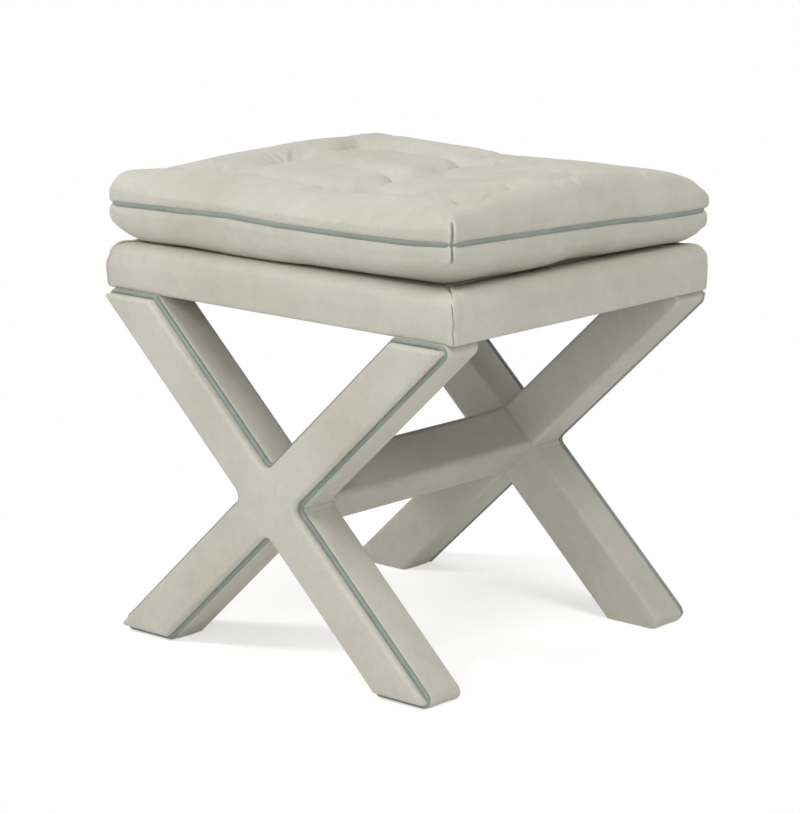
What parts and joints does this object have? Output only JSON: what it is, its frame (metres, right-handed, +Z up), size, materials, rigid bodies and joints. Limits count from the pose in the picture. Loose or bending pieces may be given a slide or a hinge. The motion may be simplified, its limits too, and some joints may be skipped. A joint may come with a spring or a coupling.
{
  "type": "tufted ottoman",
  "caption": "Upholstered stool on crossed leather-wrapped legs with a stretcher, a padded deck and a loose welted cushion with blind tufts.",
  "frame": {"origin": "on the floor, in the middle of the rectangle that the stool covers", "axes": "+Z up, +X along the deck's width and along the face of each crossed leg frame, +Y from the front leg frame to the back one, along the stretcher"},
  "size_m": [0.508, 0.46, 0.5413],
  "materials": {
    "body_leather": "soft matte nappa, pale bone",
    "welt_leather": "satin, grey-green",
    "timber": "planed, unfinished",
    "plywood": "sanded, unfinished",
    "wadding": "matte felted fibre",
    "foam": "matte open-cell foam",
    "twine": "waxed twine",
    "dust_cloth": "matte nonwoven, black",
    "glide": "matte",
    "steel": "zinc plated"
  },
  "bodies": {
    "base": {"front_leg_bar_rising": "timber", "front_leg_bar_falling": "timber", "back_leg_bar_rising": "timber", "back_leg_bar_falling": "timber", "front_leg_wadding": "wadding", "back_leg_wadding": "wadding", "front_leg_face_pad": "wadding", "back_leg_face_pad": "wadding", "front_wrap_top_left": "body_leather", "front_wrap_top_right": "body_leather", "front_wrap_foot_left": "body_leather", "front_wrap_foot_right": "body_leather", "back_wrap_top_left": "body_leather", "back_wrap_top_right": "body_leather", "back_wrap_foot_left": "body_leather", "back_wrap_foot_right": "body_leather", "front_leg_panel": "body_leather", "back_leg_panel": "body_leather", "front_leg_welt": "welt_leather", "back_leg_welt": "welt_leather", "stretcher_core": "timber", "stretcher_wadding": "wadding", "stretcher_sleeve": "body_leather", "crossing_bolts": "steel", "crossing_washers": "steel", "stretcher_dowels": "timber", "foot_glides": "glide", "deck_rail_front": "timber", "deck_rail_back": "timber", "deck_rail_left": "timber", "deck_rail_right": "timber", "deck_glue_blocks": "timber", "deck_cleat_front": "timber", "deck_cleat_back": "timber", "deck_board": "plywood", "deck_pad": "wadding", "deck_cover": "body_leather", "deck_side_panel_left": "body_leather", "deck_side_panel_right": "body_leather", "dust_cover": "dust_cloth", "hanger_bolts": "steel", "hanger_washers": "steel", "hanger_nuts": "steel", "leg_dowels": "timber", "board_screws": "steel", "staples": "steel"},
    "cushion": {"cushion_top_casing": "body_leather", "cushion_bottom_casing": "body_leather", "cushion_welt": "welt_leather", "cushion_foam_core": "foam", "cushion_fibre_topper": "wadding", "tufting_ties": "twine"}
  },
  "joints": [
    {"name": "cushion_lift", "type": "slide", "parent": "base", "child": "cushion", "axis": [0, 0, 1], "range_m": [0, 0.15]}
  ]
}
